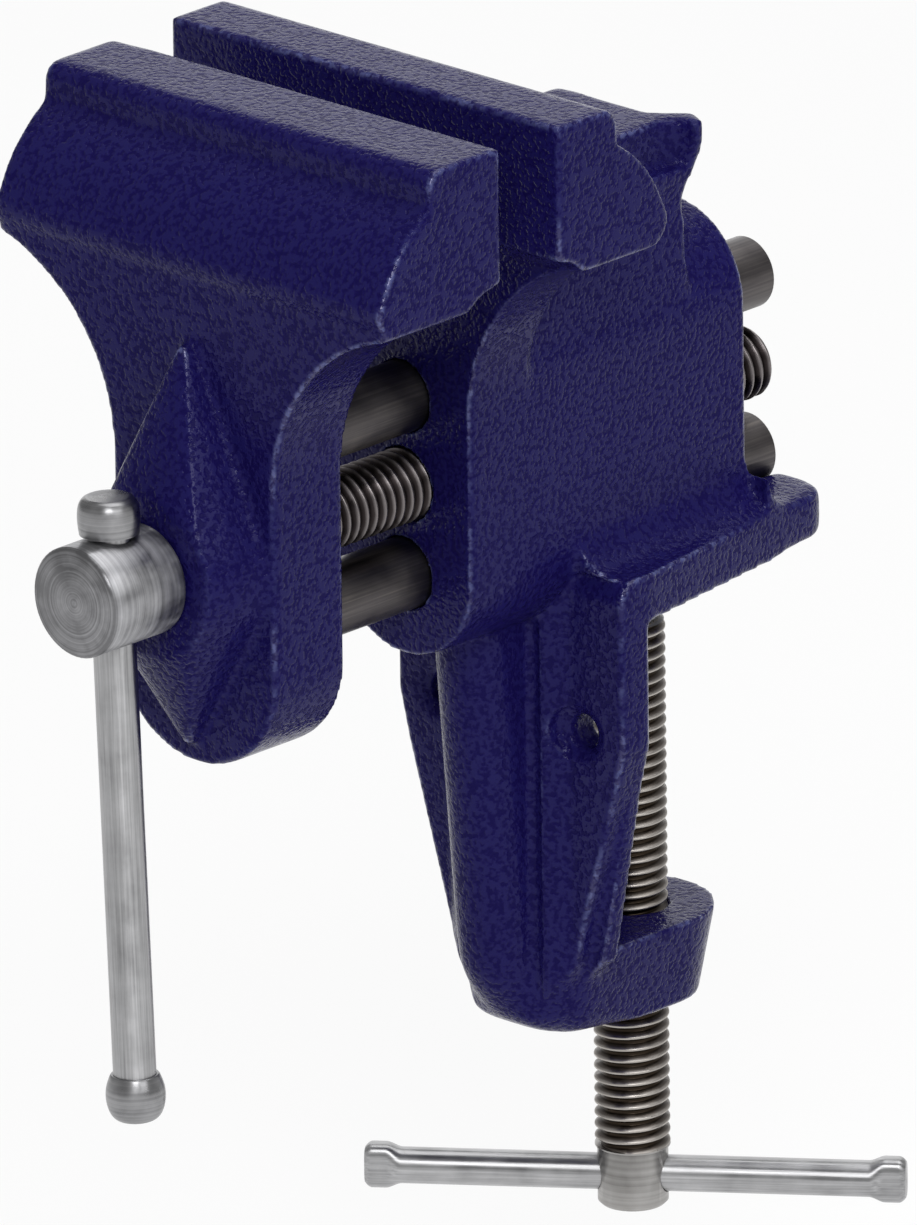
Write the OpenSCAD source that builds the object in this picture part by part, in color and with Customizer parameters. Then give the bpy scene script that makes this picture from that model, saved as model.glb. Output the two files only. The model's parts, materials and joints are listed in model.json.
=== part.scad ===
// Clamp-on table vise with two guide rods, a cross-handled main screw and a C-shaped table clamp.
// Origin: where the clamp screw's axis meets the table face under the flange.
// X runs along the jaws, Y from the handle towards the table, Z up.

/* [Jaws] */
// Width of both jaws
jaw_w = 76.2; // [60:0.1:100]
// Opening between the jaws as stored
jaw_gap = 12; // [4:0.1:40]
// Height of the gripping faces
grip_h = 20.6; // [14:0.1:28]
// Jaw top above the main screw's axis
jaw_rise = 64.5; // [58:0.1:80]
// Rear jaw's gripping face in front of the clamp screw's axis
jaw_reach = 54.3; // [48:0.1:70]
// Depth of the rear jaw's top face
rear_top_d = 12.6; // [9:0.1:18]
// Depth of the front jaw's top face
front_top_d = 14.8; // [10:0.1:20]
// Straight lip under each jaw's top edge
lip_h = 5.7; // [3:0.1:9]
// Round along each jaw's outer top edge
top_r = 2.8; // [1:0.1:4]
// Depth of the rear jaw at its bulge
rear_bulge_d = 23.1; // [19:0.1:30]
// Depth of the front jaw at its chin
front_chin_d = 25.4; // [20:0.1:32]
// Bottom of the chins below the jaw top
chin_h = 23.2; // [21.5:0.1:30]
// Radius of the round under each chin
chin_r = 3.8; // [2:0.1:5]
// Radius of the bulge between the lip and the chin
bulge_r = 22; // [16:0.5:40]
// Radius of the concave neck under the jaw ends
neck_r = 29; // [26:0.5:45]

/* [Front jaw slab] */
// Half width of the slab
slab_half_w = 15.8; // [13.5:0.1:22]
// How far the slab's round bottom sits below the lower rod's axis
slab_tail = 1.5; // [0:0.1:5]
// Back of the slab behind the jaw's gripping face, counted forwards
slab_back_d = 10; // [6:0.1:14]
// Front of the slab, counted forwards from the gripping face
slab_front_d = 24.6; // [20:0.1:30]
// Front of the boss, counted forwards from the gripping face
boss_front_d = 34.2; // [29:0.1:42]
// Radius of the boss's flat front
boss_face_r = 11.9; // [9:0.1:12.9]
// Radius of the boss's shoulder
boss_mid_r = 13.6; // [13:0.1:14.4]
// Radius of the boss where it meets the slab
boss_foot_r = 14.5; // [14.4:0.1:16]
// Upper point of the boss above the screw's axis
boss_up = 32; // [26:0.5:40]
// Lower point of the boss below the screw's axis
boss_down = 26.5; // [20:0.5:29]
// Height of the wall round the boss's outline
boss_wall = 2; // [1:0.1:3]

/* [Guide rods] */
// Diameter of the guide rods
rod_d = 10.7; // [8:0.1:12]
// Distance from the main screw's axis to each rod's axis
rod_offset = 13.5; // [12.2:0.1:18]
// How deep the rods sit in the front jaw
rod_seat = 12; // [8:0.5:13]
// Rear ends of the rods behind the clamp screw's axis
rod_rear = 26.8; // [16:0.1:40]

/* [Main screw] */
// Height of the main screw's axis above the table face
screw_z = 23.3; // [22:0.1:34]
// Outside diameter of the main screw
screw_d = 11.1; // [8:0.1:12.5]
// Rear end of the main screw behind the clamp screw's axis
screw_rear = 26.4; // [14:0.1:40]
// Diameter of the screw head
head_d = 16.5; // [14:0.1:18.4]
// Length of the screw head
head_len = 15; // [11:0.1:22]
// Diameter of the retaining collar
collar_d = 15.6; // [14:0.1:15.6]
// Length of the retaining collar
collar_len = 6; // [4.5:0.1:9]
// Thickness of the thrust washer
washer_t = 1.2; // [0.8:0.1:2]
// Diameter of the collar's cross pin
collar_pin_d = 3; // [2:0.1:4]

/* [Handle] */
// Diameter of the handle bar
bar_d = 6.3; // [5:0.1:8]
// Cross hole in front of the screw head's back
bar_back = 7.1; // [5:0.1:11]
// Bar length between the two knobs
bar_len = 81.5; // [50:0.5:130]
// Lean of the handle from upright, bottom end towards the right
bar_lean = 2.4; // [-10:0.1:10]
// Widest diameter of the top knob
top_knob_d = 9.1; // [8:0.1:11]
// Height of the top knob
top_knob_h = 5.6; // [4:0.1:9]
// Widest diameter of the bottom knob
low_knob_d = 8.7; // [7.8:0.1:11]
// Height of the bottom knob
low_knob_h = 7; // [5:0.1:10]

/* [Housing and anvil] */
// Radius of the housing's rounded top and bottom
housing_r = 13.5; // [12.5:0.1:16]
// Upper round of the housing above the upper rod's axis
housing_up = 2.2; // [0:0.1:4]
// Lower round of the housing above the lower rod's axis
housing_low_up = 1.2; // [-2:0.1:3]
// Front of the housing behind the rear jaw's gripping face
housing_front = 7; // [4:0.1:10]
// Length of the housing
housing_len = 58.7; // [52:0.1:75]
// Top of the anvil below the jaw top
anvil_drop = 18.6; // [14:0.1:24]
// Half width of the anvil's tail at its top
tail_half_w = 13.5; // [12.5:0.1:18]
// Half width of the anvil's waist
waist_half_w = 11.9; // [10:0.1:12.4]
// Rear of the anvil behind the rear jaw's gripping face
anvil_len = 54.4; // [48:0.1:58]
// Half width of the straight middle of the tail's rear edge
tail_mid_half_w = 4.7; // [3:0.1:8]
// How far the tail's right tip sweeps back past the middle
tail_sweep = 4.4; // [2.5:0.1:5]
// How far the tail's left tip sweeps back past the middle
left_sweep = 1; // [0:0.1:5]
// Width of each of the tail's tips
tip_w = 3.4; // [2:0.1:5]
// Thickness of the anvil's rim
rim_h = 3; // [1.5:0.1:5]
// Height from the anvil's top to its waist
waist_drop = 12; // [8:0.1:15]
// Half width of the anvil at the scoop in its right side
scoop_half_w = 9.4; // [8:0.1:11]
// Radius of the scoop's round ends
scoop_r = 4.4; // [3:0.1:6]
// Length of the scoop
scoop_len = 17; // [12:0.5:22]
// Depth of the scoop below the anvil's top
scoop_drop = 7; // [4:0.1:10]

/* [Flange] */
// Thickness of the flange
flange_t = 7.2; // [6:0.1:11]
// Half width of the flange at the post
flange_half_w = 22.3; // [19:0.1:30]
// Half width of the flange at its rear end
flange_rear_half_w = 16.2; // [13:0.1:22]
// Rear end of the flange behind the clamp screw's axis
flange_rear = 27.6; // [20:0.1:40]
// Corner radius at the flange's rear end
flange_corner_r = 6; // [3:0.1:10]
// Radius of the hollow where the housing meets the flange
root_r = 7; // [3:0.1:8]
// Round along the flange's front edge
edge_r = 3.5; // [1:0.1:5]

/* [Post and hook] */
// Table edge plane in front of the clamp screw's axis
throat_d = 19.1; // [14:0.1:30]
// Thickness of the post's wings
wing_t = 6; // [4:0.1:9]
// Half width of the wings halfway down
wing_mid_half_w = 20.5; // [16:0.1:26]
// Half width of the wings at the hook
wing_low_half_w = 15.4; // [12.6:0.1:20]
// How much narrower the wings' front is at the hook
wing_bevel = 3; // [0:0.1:5]
// Half width of the post's foot
foot_half_w = 10.4; // [9:0.1:12]
// Radius of the foot's lower corners, seen from the front
foot_r = 9; // [4:0.1:10]
// Thickness of the step in front of the wings
step_t = 3.4; // [2:0.1:8]
// Half width of the step at the wings
step_half_w = 12; // [10.5:0.1:12.4]
// Half width of the step at its front
step_front_half_w = 7.2; // [6.5:0.1:10]
// Half width of the step at the post's foot
step_foot_half_w = 7.2; // [6.4:0.1:9]
// Radius of the post's rounded front rib
rib_r = 6; // [4:0.1:8]
// Front of the rib ahead of the step at the top
rib_out_top = 10.8; // [7:0.1:13]
// Front of the rib ahead of the step at the bottom
rib_out_low = 5.6; // [4:0.1:9]
// Radius of the groove along each side of the rib
groove_r = 1.4; // [0.8:0.1:2]
// Opening between the flange and the hook
throat_h = 53.3; // [40:0.1:80]
// Thickness of the hook
hook_t = 13.7; // [10:0.1:20]
// Radius of the hook's rounded end at its top
hook_r = 12.4; // [10.5:0.1:16]
// Inward slope of the hook's sides over its height
hook_draft = 2.6; // [0:0.1:4]
// Round under the post's lower front corner
heel_r = 16; // [8:0.1:18]
// Distance between the two bench screw holes
bench_hole_gap = 27.6; // [26:0.1:32]
// Bench screw holes below the table face
bench_hole_drop = 17.5; // [12:0.1:26]
// Diameter of the bench screw holes
bench_hole_d = 5.2; // [4:0.1:6]
// Diameter of the countersinks
countersink_d = 9; // [7:0.1:11]
// Depth of the countersinks
countersink_h = 1.1; // [0.6:0.1:2]

/* [Clamp screw] */
// Outside diameter of the clamp screw
clamp_d = 11.1; // [9:0.1:13]
// Diameter of the clamp screw's plain head
clamp_head_d = 10.4; // [9:0.1:12]
// Height of the clamp screw's plain head
clamp_head_h = 9; // [7.5:0.1:14]
// Bottom of the clamp screw below the table face as stored
clamp_low = 99.8; // [90:0.1:140]
// Gap between the swivel pad and the table face as stored
pad_gap = 2.2; // [2.1:0.1:10]
// Diameter of the swivel pad
pad_d = 15; // [13:0.1:22]
// Height of the swivel pad
pad_h = 5.6; // [5:0.1:9]
// Radius of the clamp screw's ball end
ball_r = 2.8; // [2.2:0.1:3]
// Diameter of the clamp bar
tee_d = 5.4; // [4:0.1:6.2]
// Length of the clamp bar
tee_len = 79.4; // [50:0.1:120]
// How far the clamp bar sits off the middle as stored
tee_shift = 0.4; // [-20:0.1:20]
// Turn of the clamp bar about the clamp screw's axis
tee_turn = 36.4; // [0:0.1:90]
// Width of the clamp bar's squeezed ends
tee_end_w = 6.8; // [6.4:0.1:8]
// Length of the clamp bar's squeezed ends
tee_end_len = 5.5; // [3:0.1:9]

/* [Fits] */
// Running clearance around rods and screws, on the radius
run_fit = 0.08; // [0.02:0.01:0.1]
// Clearance of pressed pieces, on the radius
press_fit = 0.02; // [0.01:0.01:0.03]
// Gap between faces that move past each other
face_gap = 0.3; // [0.2:0.05:0.6]
// Clearance around the handle bar and the clamp bar, on the radius
bar_fit = 0.15; // [0.1:0.01:0.3]

/* [Hidden] */
$fn = 64;
eps = 0.02;
// how far a cutting shape runs past the face it cuts
over = 1;
tip_side = 0.6;
tip_t = 1.5;
jaw_top = screw_z + jaw_rise;
chin_z = jaw_top - chin_h + chin_r;
upper_z = screw_z + rod_offset;
lower_z = screw_z - rod_offset;
rear_face_y = -jaw_reach;
front_face_y = rear_face_y - jaw_gap;
slab_back_y = front_face_y - slab_back_d;
slab_front_y = front_face_y - slab_front_d;
boss_front_y = front_face_y - boss_front_d;
slab_round_z = lower_z - slab_tail;
head_back_y = boss_front_y - face_gap;
head_front_y = head_back_y - head_len;
bar_y = head_back_y - bar_back;
washer_y = slab_back_y + face_gap;
collar_y = washer_y + washer_t + face_gap;
pin_y = collar_y + collar_len / 2;
housing_front_y = rear_face_y + housing_front;
housing_rear_y = housing_front_y + housing_len;
wing_back_y = -throat_d;
wing_front_y = wing_back_y - wing_t;
step_front_y = wing_front_y - step_t;
hook_top_z = -throat_h;
hook_low_z = hook_top_z - hook_t;
knob_seat = head_d / 2 + face_gap;
pad_top_z = -pad_gap;
pad_low_z = pad_top_z - pad_h;
ball_seat = 1.8;
ball_z = pad_low_z + ball_seat;
neck_pin_r = ball_r * 0.7;
pad_room = 1;
shoulder_z = pad_low_z - pad_room;
clamp_head_z = -clamp_low + clamp_head_h;
tee_z = -clamp_low + clamp_head_h / 2;
chamfer = 0.5;
tip = 1;
wing_high = 0.35;
wing_mid = 0.49;
edge_slant = 6.3;
edge_tilt = 27;
end_flat = 0.8;
belly = 0.4;
shoulder = 0.62;
brow = 0.93;
boss_point_d = 2;
rib_bite = 0.15;
step_foot_r = 0.9 * step_foot_half_w;
boss_foot_t = 0.5;

// A flat shape drawn as depth and height, swept across the vise
module across(half_w) {
    rotate([90, 0, 90])
        linear_extrude(height = 2 * half_w, center = true)
            children();
}

// A flat shape drawn as width and height, swept from one depth to another
module along(y_from, y_to) {
    translate([0, y_to, 0])
        rotate([90, 0, 0])
            linear_extrude(height = y_to - y_from)
                children();
}

// A round bar along the depth
module bar_along(d, y_from, y_to, z) {
    translate([0, y_to, z])
        rotate([90, 0, 0])
            cylinder(d = d, h = y_to - y_from);
}

// Jaw seen from the front: wide head on a neck with concave sides
module jaw_outline(low_half_w, low_z) {
    half_w = jaw_w / 2;
    end_z = jaw_top - chin_h;
    rise = sqrt(neck_r * neck_r - pow(low_half_w + neck_r - half_w, 2));
    translate([-half_w, end_z])
        square([2 * half_w, chin_h]);
    difference() {
        translate([-half_w, end_z - rise])
            square([2 * half_w, rise + eps]);
        for (side = [-1, 1])
            translate([side * (low_half_w + neck_r), end_z - rise])
                circle(r = neck_r);
    }
    translate([-low_half_w, low_z])
        square([2 * low_half_w, end_z - rise - low_z + eps]);
}

// Jaw head seen from the side: flat grip at depth 0, lip, bulging back and round chin
module head_profile(top_d, bulge_d) {
    out = bulge_d - top_d;
    fall = jaw_top - lip_h - chin_z;
    chord = sqrt(out * out + fall * fall);
    sag = sqrt(bulge_r * bulge_r - chord * chord / 4);
    difference() {
        translate([0, jaw_top - grip_h])
            square([top_d, grip_h]);
        translate([top_d - top_r, jaw_top - top_r])
            difference() {
                square(top_r + over);
                circle(r = top_r);
            }
    }
    intersection() {
        translate([top_d + out / 2 - sag * fall / chord, chin_z + fall / 2 - sag * out / chord])
            circle(r = bulge_r, $fn = 128);
        translate([0, chin_z])
            square([bulge_d, fall]);
    }
    translate([bulge_d - chin_r, chin_z])
        circle(r = chin_r);
}

// Hollow under the overhanging grip, from the grip's lower edge to the neck's face
module grip_root(depth) {
    difference() {
        translate([0, jaw_top - grip_h - depth])
            square([depth + eps, depth + eps]);
        translate([0, jaw_top - grip_h - depth])
            circle(r = depth);
    }
}

// Rear jaw from the side, with its neck down into the housing
module rear_jaw_profile() {
    head_profile(rear_top_d, rear_bulge_d);
    grip_root(housing_front);
    translate([housing_front, upper_z])
        square([rear_bulge_d - chin_r - housing_front, chin_z - upper_z]);
}

// Front jaw from the side, with its slab down past the lower rod
module front_jaw_profile() {
    low_z = slab_round_z - slab_half_w;
    head_profile(front_top_d, front_chin_d);
    grip_root(slab_back_d);
    translate([slab_back_d, low_z])
        square([slab_front_d - slab_back_d, chin_z - low_z]);
}

// Anvil from the rear: rim, waist and foot on the housing
module anvil_outline() {
    top_z = jaw_top - anvil_drop;
    waist_z = top_z - waist_drop;
    fall = top_z - rim_h - waist_z;
    step_in = tail_half_w - waist_half_w;
    side_r = (fall * fall + step_in * step_in) / (2 * step_in);
    difference() {
        translate([-tail_half_w, waist_z])
            square([2 * tail_half_w, top_z - waist_z]);
        for (side = [-1, 1])
            translate([side * (waist_half_w + side_r), waist_z])
                circle(r = side_r, $fn = 128);
    }
    polygon([[-waist_half_w, waist_z + eps], [-housing_r, upper_z], [housing_r, upper_z],
        [waist_half_w, waist_z + eps]]);
}

// Anvil from above: straight sides and a swept tail
module anvil_plan() {
    front_y = rear_face_y + housing_front;
    rear_y = rear_face_y + anvil_len;
    tip_x = tail_half_w - tip_w;
    polygon([[-tail_half_w, front_y], [tail_half_w, front_y],
        [tail_half_w, rear_y + tip_side * tail_sweep], [tip_x, rear_y + tail_sweep],
        [tail_mid_half_w, rear_y], [-tail_mid_half_w, rear_y],
        [-tip_x, rear_y + left_sweep], [-tail_half_w, rear_y + tip_side * left_sweep]]);
}

// Scoop in the anvil's right side, round at both ends
module scoop() {
    end_y = rear_face_y + anvil_len + tip_side * tail_sweep - tip_t;
    middle_x = scoop_half_w + scoop_r;
    translate([0, 0, jaw_top - anvil_drop - scoop_drop])
        linear_extrude(height = scoop_drop + over) {
            for (y = [end_y - scoop_len + scoop_r, end_y - scoop_r])
                translate([middle_x, y])
                    circle(r = scoop_r);
            translate([scoop_half_w, end_y - scoop_len + scoop_r])
                square([2 * scoop_r, scoop_len - 2 * scoop_r]);
        }
}

// Slanted undercut of the anvil's tail, from the side
module tail_under() {
    top_z = jaw_top - anvil_drop;
    rear_y = rear_face_y + anvil_len;
    tip_y = rear_y + tail_sweep;
    polygon([[tip_y, top_z - rim_h], [tip_y + over, top_z - rim_h], [tip_y + over, upper_z],
        [rear_y, upper_z], [rear_y, top_z - waist_drop]]);
}

// Anvil behind the rear jaw
module anvil() {
    difference() {
        intersection() {
            along(housing_front_y, rear_face_y + anvil_len + tail_sweep)
                anvil_outline();
            translate([0, 0, upper_z])
                linear_extrude(height = jaw_top - upper_z)
                    anvil_plan();
        }
        across(tail_half_w + over)
            tail_under();
        scoop();
    }
}

// Housing around the rods and the screw
module housing_outline() {
    low_z = lower_z + housing_low_up;
    high_z = upper_z + housing_up;
    for (z = [low_z, high_z])
        translate([0, z])
            circle(r = housing_r);
    translate([-housing_r, low_z])
        square([2 * housing_r, high_z - low_z]);
}

// Flange from above
module flange_plan() {
    corner_x = flange_rear_half_w - flange_corner_r;
    corner_y = flange_rear - flange_corner_r;
    polygon([[-flange_half_w, wing_front_y], [flange_half_w, wing_front_y], [flange_half_w, wing_back_y],
        [flange_rear_half_w, corner_y], [-flange_rear_half_w, corner_y], [-flange_half_w, wing_back_y]]);
    for (side = [-1, 1])
        translate([side * corner_x, corner_y])
            circle(r = flange_corner_r);
    translate([-corner_x, corner_y - eps])
        square([2 * corner_x, flange_corner_r + eps]);
}

// Hollow between two faces that meet, drawn in the corner
module root_corner(r) {
    difference() {
        translate([-eps, -eps])
            square(r + eps);
        translate([r, r])
            circle(r = r);
    }
}

module flange() {
    difference() {
        linear_extrude(height = flange_t)
            flange_plan();
        across(flange_half_w + over)
            translate([wing_front_y, flange_t])
                rotate(-90)
                    root_corner(edge_r);
    }
    // hollows up to the housing's sides and rear face
    intersection() {
        union() {
            for (side = [0, 1])
                mirror([side, 0, 0])
                    along(wing_front_y, housing_rear_y)
                        translate([housing_r, flange_t])
                            root_corner(root_r);
            across(housing_r + root_r)
                translate([housing_rear_y, flange_t])
                    root_corner(root_r);
        }
        linear_extrude(height = flange_t + root_r)
            flange_plan();
    }
}

// Post and hook from the side
module frame_side() {
    top_y = step_front_y - rib_out_top;
    difference() {
        translate([top_y, hook_low_z])
            square([hook_r - top_y, lower_z - hook_low_z]);
        translate([wing_back_y, hook_top_z])
            square([hook_r + throat_d + over, throat_h]);
        translate([wing_back_y, -eps])
            square([hook_r + throat_d + over, lower_z + over]);
    }
}

// Rounded lower front corner of the post
module heel() {
    heel_y = step_front_y - rib_out_low;
    room = rib_out_top + over;
    difference() {
        translate([heel_y - room, hook_low_z - over])
            square([heel_r + room, heel_r + over]);
        translate([heel_y + heel_r, hook_low_z + heel_r])
            circle(r = heel_r);
    }
}

// Flat bottom with two round corners
module round_foot(half_w, r) {
    for (side = [-1, 1])
        translate([side * (half_w - r), hook_low_z + r])
            circle(r = r);
    translate([r - half_w, hook_low_z])
        square([2 * (half_w - r), r]);
}

// Wings from the front: full width at the flange, narrowing to the foot
module wing_outline(low_half_w) {
    foot_z = hook_low_z + foot_r;
    high_z = -throat_h * wing_high;
    mid_z = -throat_h * wing_mid;
    polygon([[-flange_half_w, eps], [flange_half_w, eps], [flange_half_w, high_z],
        [wing_mid_half_w, mid_z], [low_half_w, hook_top_z], [foot_half_w, foot_z],
        [-foot_half_w, foot_z], [-low_half_w, hook_top_z], [-wing_mid_half_w, mid_z],
        [-flange_half_w, high_z]]);
    round_foot(foot_half_w, foot_r);
}

// Step from the front: straight sides and a round foot
module step_outline() {
    foot_z = hook_low_z + step_foot_r;
    polygon([[-step_half_w, lower_z], [step_half_w, lower_z], [step_half_w, hook_top_z],
        [step_foot_half_w, foot_z], [-step_foot_half_w, foot_z], [-step_half_w, hook_top_z]]);
    round_foot(step_foot_half_w, step_foot_r);
}

// Step in front of the wings, its sides sloping from the rib to the wings
module step() {
    intersection() {
        along(step_front_y, wing_front_y + eps)
            step_outline();
        translate([0, 0, hook_low_z])
            linear_extrude(height = lower_z - hook_low_z)
                polygon([[-step_half_w, wing_front_y + over], [-step_half_w, wing_front_y],
                    [-step_front_half_w, step_front_y], [step_front_half_w, step_front_y],
                    [step_half_w, wing_front_y], [step_half_w, wing_front_y + over]]);
    }
}

// Front rib of the post, its lower end bent round the heel
module rib() {
    low_y = step_front_y - rib_out_low;
    bend_z = hook_low_z + heel_r;
    hull() {
        translate([0, step_front_y - rib_out_top + rib_r, lower_z - over])
            cylinder(r = rib_r, h = over, $fn = 48);
        translate([0, low_y + rib_r, bend_z])
            cylinder(r = rib_r, h = eps, $fn = 48);
        translate([-rib_r, wing_front_y, bend_z])
            cube([2 * rib_r, over, lower_z - bend_z]);
    }
    translate([0, low_y + heel_r, bend_z + eps])
        rotate([-90, 0, -90])
            rotate_extrude(angle = 90)
                translate([heel_r - rib_r, 0])
                    circle(r = rib_r - rib_bite);
}

// Wings, step and front rib of the post, with a groove along each side of the rib
module post() {
    bevel_y = wing_back_y - wing_t / 2;
    along(bevel_y, wing_back_y)
        wing_outline(wing_low_half_w);
    along(wing_front_y, bevel_y + eps)
        wing_outline(wing_low_half_w - wing_bevel);
    difference() {
        union() {
            step();
            rib();
        }
        for (side = [-1, 1])
            translate([side * (rib_r + groove_r - rib_bite), step_front_y, hook_low_z - over])
                cylinder(r = groove_r, h = lower_z - hook_low_z + 2 * over);
    }
}

// Hook under the table, with drafted sides, a round end and lower edges cut away to the front
module hook() {
    low_r = hook_r - hook_draft;
    span = 4 * hook_r;
    difference() {
        union() {
            along(wing_back_y - wing_t / 2, 0)
                polygon([[-hook_r, hook_top_z], [hook_r, hook_top_z],
                    [low_r, hook_low_z], [-low_r, hook_low_z]]);
            translate([0, 0, hook_low_z])
                cylinder(r1 = low_r, r2 = hook_r, h = hook_t);
        }
        for (side = [-1, 1])
            translate([side * low_r, -clamp_d / 2, hook_low_z])
                rotate([-edge_slant, -side * edge_tilt, 0])
                    translate([-span / 2, -span / 2, -hook_t])
                        cube([span, span, hook_t]);
    }
}

module fixed_body() {
    color("royalblue")
    difference() {
        union() {
            intersection() {
                translate([0, rear_face_y, 0])
                    across(jaw_w / 2)
                        rear_jaw_profile();
                along(rear_face_y, rear_face_y + rear_bulge_d)
                    jaw_outline(housing_r, upper_z);
            }
            anvil();
            difference() {
                along(housing_front_y, housing_rear_y)
                    housing_outline();
                translate([-housing_r - over, wing_front_y, -housing_r])
                    cube([2 * housing_r + 2 * over, housing_rear_y - wing_front_y + over, housing_r]);
            }
            flange();
            difference() {
                intersection() {
                    union() {
                        post();
                        hook();
                    }
                    across(flange_half_w + over)
                        frame_side();
                }
                across(flange_half_w + over)
                    heel();
            }
        }
        for (z = [lower_z, upper_z])
            bar_along(rod_d + 2 * run_fit, housing_front_y - over, flange_rear + over, z);
        bar_along(screw_d + 2 * run_fit, housing_front_y - over, housing_rear_y + over, screw_z);
        translate([0, 0, hook_low_z - over])
            cylinder(d = clamp_d + 2 * run_fit, h = hook_t + 2 * over);
        for (side = [-1, 1])
            translate([side * bench_hole_gap / 2, wing_back_y + over, -bench_hole_drop])
                rotate([90, 0, 0]) {
                    cylinder(d = bench_hole_d, h = wing_t + 2 * over);
                    translate([0, 0, wing_t + over - countersink_h])
                        cylinder(d1 = bench_hole_d, d2 = countersink_d, h = countersink_h);
                    translate([0, 0, wing_t + over - eps])
                        cylinder(d = countersink_d, h = step_t);
                }
    }
}

// Diamond-shaped boss around the screw, with a point above and below
module boss() {
    wall_y = slab_front_y - boss_wall;
    root_y = slab_front_y + boss_foot_t;
    hull() {
        bar_along(2 * boss_face_r, boss_front_y, boss_front_y + boss_foot_t, screw_z, $fn = 48);
        bar_along(2 * boss_mid_r, (boss_front_y + slab_front_y) / 2, slab_front_y, screw_z, $fn = 48);
        bar_along(2 * boss_foot_r, slab_front_y - boss_foot_t, root_y, screw_z, $fn = 48);
        for (z = [screw_z + boss_up, screw_z - boss_down])
            bar_along(boss_point_d, wall_y, root_y, z, $fn = 16);
    }
}

module front_jaw() {
    color("royalblue")
    difference() {
        union() {
            intersection() {
                translate([0, front_face_y, 0])
                    mirror([0, 1, 0])
                        across(jaw_w / 2)
                            front_jaw_profile();
                along(front_face_y - front_chin_d, front_face_y)
                    union() {
                        jaw_outline(slab_half_w, slab_round_z);
                        translate([0, slab_round_z])
                            circle(r = slab_half_w);
                    }
            }
            boss();
        }
        bar_along(screw_d + 2 * run_fit, boss_front_y - over, slab_back_y + over, screw_z);
        for (z = [lower_z, upper_z])
            bar_along(rod_d + 2 * press_fit, slab_back_y - rod_seat - face_gap, slab_back_y + over, z);
    }
}

module guide_rod(z) {
    seat_y = slab_back_y - rod_seat;
    color("dimgray") {
        bar_along(rod_d, seat_y, rod_rear - chamfer, z);
        translate([0, rod_rear - chamfer, z])
            rotate([-90, 0, 0])
                cylinder(d1 = rod_d, d2 = rod_d - 2 * chamfer, h = chamfer);
    }
}

module guide_rod_upper() {
    guide_rod(upper_z);
}

module guide_rod_lower() {
    guide_rod(lower_z);
}

// Turned about the main screw's axis with the handle
module leaned() {
    translate([0, 0, screw_z])
        rotate([0, -bar_lean, 0])
            children();
}

module main_screw() {
    color("silver")
    difference() {
        leaned() {
            bar_along(screw_d, head_back_y - over, screw_rear - tip, 0);
            translate([0, screw_rear - tip, 0])
                rotate([-90, 0, 0])
                    cylinder(d1 = screw_d, d2 = screw_d - 2 * tip, h = tip);
            bar_along(head_d, head_front_y + chamfer, head_back_y - chamfer, 0);
            translate([0, head_front_y, 0])
                rotate([-90, 0, 0])
                    cylinder(d1 = head_d - 2 * chamfer, d2 = head_d, h = chamfer);
            translate([0, head_back_y - chamfer, 0])
                rotate([-90, 0, 0])
                    cylinder(d1 = head_d, d2 = head_d - 2 * chamfer, h = chamfer);
        }
        leaned()
            translate([0, bar_y, -head_d])
                cylinder(d = bar_d + 2 * bar_fit, h = 2 * head_d);
        leaned()
            translate([0, pin_y, -screw_d])
                cylinder(d = collar_pin_d + 2 * press_fit, h = 2 * screw_d);
    }
}

module thrust_washer() {
    color("gainsboro")
    difference() {
        bar_along(collar_d, washer_y, washer_y + washer_t, screw_z);
        bar_along(screw_d + 2 * run_fit, washer_y - over, washer_y + washer_t + over, screw_z);
    }
}

module retaining_collar() {
    color("gray")
    difference() {
        bar_along(collar_d, collar_y, collar_y + collar_len, screw_z);
        bar_along(screw_d + 2 * press_fit, collar_y - over, collar_y + collar_len + over, screw_z);
        leaned()
            translate([0, pin_y, -collar_d])
                cylinder(d = collar_pin_d + 2 * press_fit, h = 2 * collar_d);
    }
}

module collar_pin() {
    color("silver")
    leaned()
        translate([0, pin_y, chamfer - collar_d / 2])
            cylinder(d = collar_pin_d, h = collar_d - 2 * chamfer);
}

// The bar runs into both knobs
module handle_bar() {
    color("silver")
    leaned()
        translate([0, bar_y, knob_seat - bar_len - low_knob_h / 2])
            cylinder(d = bar_d, h = bar_len + top_knob_h / 2 + low_knob_h / 2);
}

// Knob turned from its seat upwards: flared foot, round shoulder and flat or domed end
module knob(d, h, foot_d, end_d) {
    r = d / 2;
    brow_r = end_d / 2 + chamfer;
    difference() {
        rotate_extrude()
            polygon([[0, 0], [foot_d / 2, 0], [r, h * belly], [r - press_fit, h * shoulder],
                [brow_r, h * brow], [end_d / 2, h], [0, h]]);
        translate([0, 0, -over])
            cylinder(d = bar_d + 2 * press_fit, h = over + h / 2);
    }
}

module handle_knob_top() {
    color("silver")
    leaned()
        translate([0, bar_y, knob_seat])
            knob(top_knob_d, top_knob_h, top_knob_d - chamfer, top_knob_d * shoulder);
}

module handle_knob_bottom() {
    color("silver")
    leaned()
        translate([0, bar_y, knob_seat - bar_len])
            rotate([180, 0, 0])
                knob(low_knob_d, low_knob_h, low_knob_d - 3 * chamfer, low_knob_d * shoulder);
}

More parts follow.
